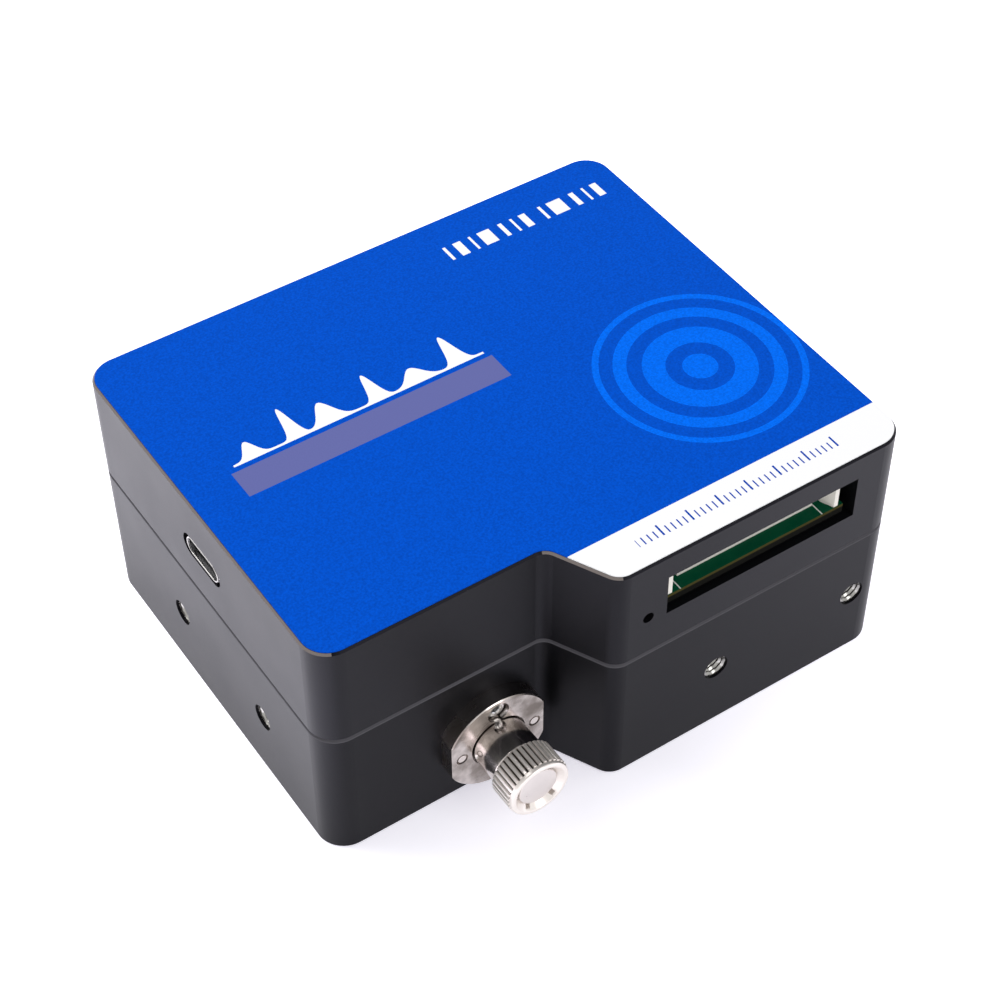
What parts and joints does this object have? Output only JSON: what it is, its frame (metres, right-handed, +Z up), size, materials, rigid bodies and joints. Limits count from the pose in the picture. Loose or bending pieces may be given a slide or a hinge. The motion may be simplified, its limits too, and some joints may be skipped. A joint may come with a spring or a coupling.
{
  "type": "fiber optic spectrometer",
  "caption": "Flat metal instrument housing with a stepped front, a screw-capped fibre port, a wide front slot over a circuit board, and an optical bench with a cooled detector inside.",
  "frame": {"origin": "middle of the housing's underside", "axes": "+X along the front to the right as seen from the port's side, +Y to the back, +Z up"},
  "size_m": [0.09, 0.0789, 0.0424],
  "materials": {
    "anodised_housing": "black anodised, fine satin grain",
    "printed_film": "printed film with a fine texture",
    "nickel": "nickel plated, slightly worn",
    "screw_steel": "bare steel",
    "seal_rubber": "matt",
    "inner_aluminium": "black anodised",
    "mirror_glass": "coated glass",
    "clear_glass": "polished",
    "white_ceramic": "matt",
    "circuit_board": "solder mask",
    "black_plastic": "moulded",
    "ivory_plastic": "moulded",
    "brass_parts": "bare",
    "cable_film": "satin",
    "clear_plastic": "clear"
  },
  "bodies": {
    "housing": {"base_housing": "anodised_housing", "board_chips": "black_plastic", "board_screws": "screw_steel", "board_standoffs": "brass_parts", "cable_headers": "black_plastic", "collimating_mirror": "mirror_glass", "collimator_mount": "inner_aluminium", "detector_baffle": "inner_aluminium", "detector_board": "circuit_board", "detector_cable": "cable_film", "detector_package": "white_ceramic", "detector_window": "clear_glass", "diffraction_grating": "mirror_glass", "entrance_baffle": "inner_aluminium", "fiber_socket": "nickel", "flange_pins": "nickel", "flange_screws": "screw_steel", "focus_mount": "inner_aluminium", "focusing_mirror": "mirror_glass", "front_thread_inserts": "screw_steel", "grating_mount": "inner_aluminium", "heat_spreader": "inner_aluminium", "housing_gasket": "seal_rubber", "housing_screws": "screw_steel", "io_contacts": "brass_parts", "io_header": "ivory_plastic", "light_guide": "clear_plastic", "main_board": "circuit_board", "mount_screws": "screw_steel", "order_filter": "clear_glass", "port_flange": "nickel", "side_thread_inserts": "screw_steel", "slit_plate": "screw_steel", "slit_retainer": "inner_aluminium", "socket_nut": "inner_aluminium", "status_led": "clear_plastic", "thermoelectric_cooler": "white_ceramic", "top_housing": "anodised_housing", "top_label": "printed_film", "usb_shell": "screw_steel", "usb_tongue": "black_plastic"},
    "cap_disc": {"cap_plug": "nickel"},
    "cap_ring": {"knurled_cap": "nickel"}
  },
  "joints": [
    {"name": "cap_slide", "type": "slide", "parent": "housing", "child": "cap_disc", "axis": [0, -1, 0], "range_m": [0, 0.003]},
    {"name": "cap_turn", "type": "hinge", "parent": "cap_disc", "child": "cap_ring", "pos_m": [-0.01905, -0.038, 0.01085], "axis": [0, -1, 0], "range_deg": [0, 1441]}
  ],
  "couplings": [
    {"joint": "cap_turn", "follows": "cap_slide", "rad_per_m": 8377.6}
  ]
}
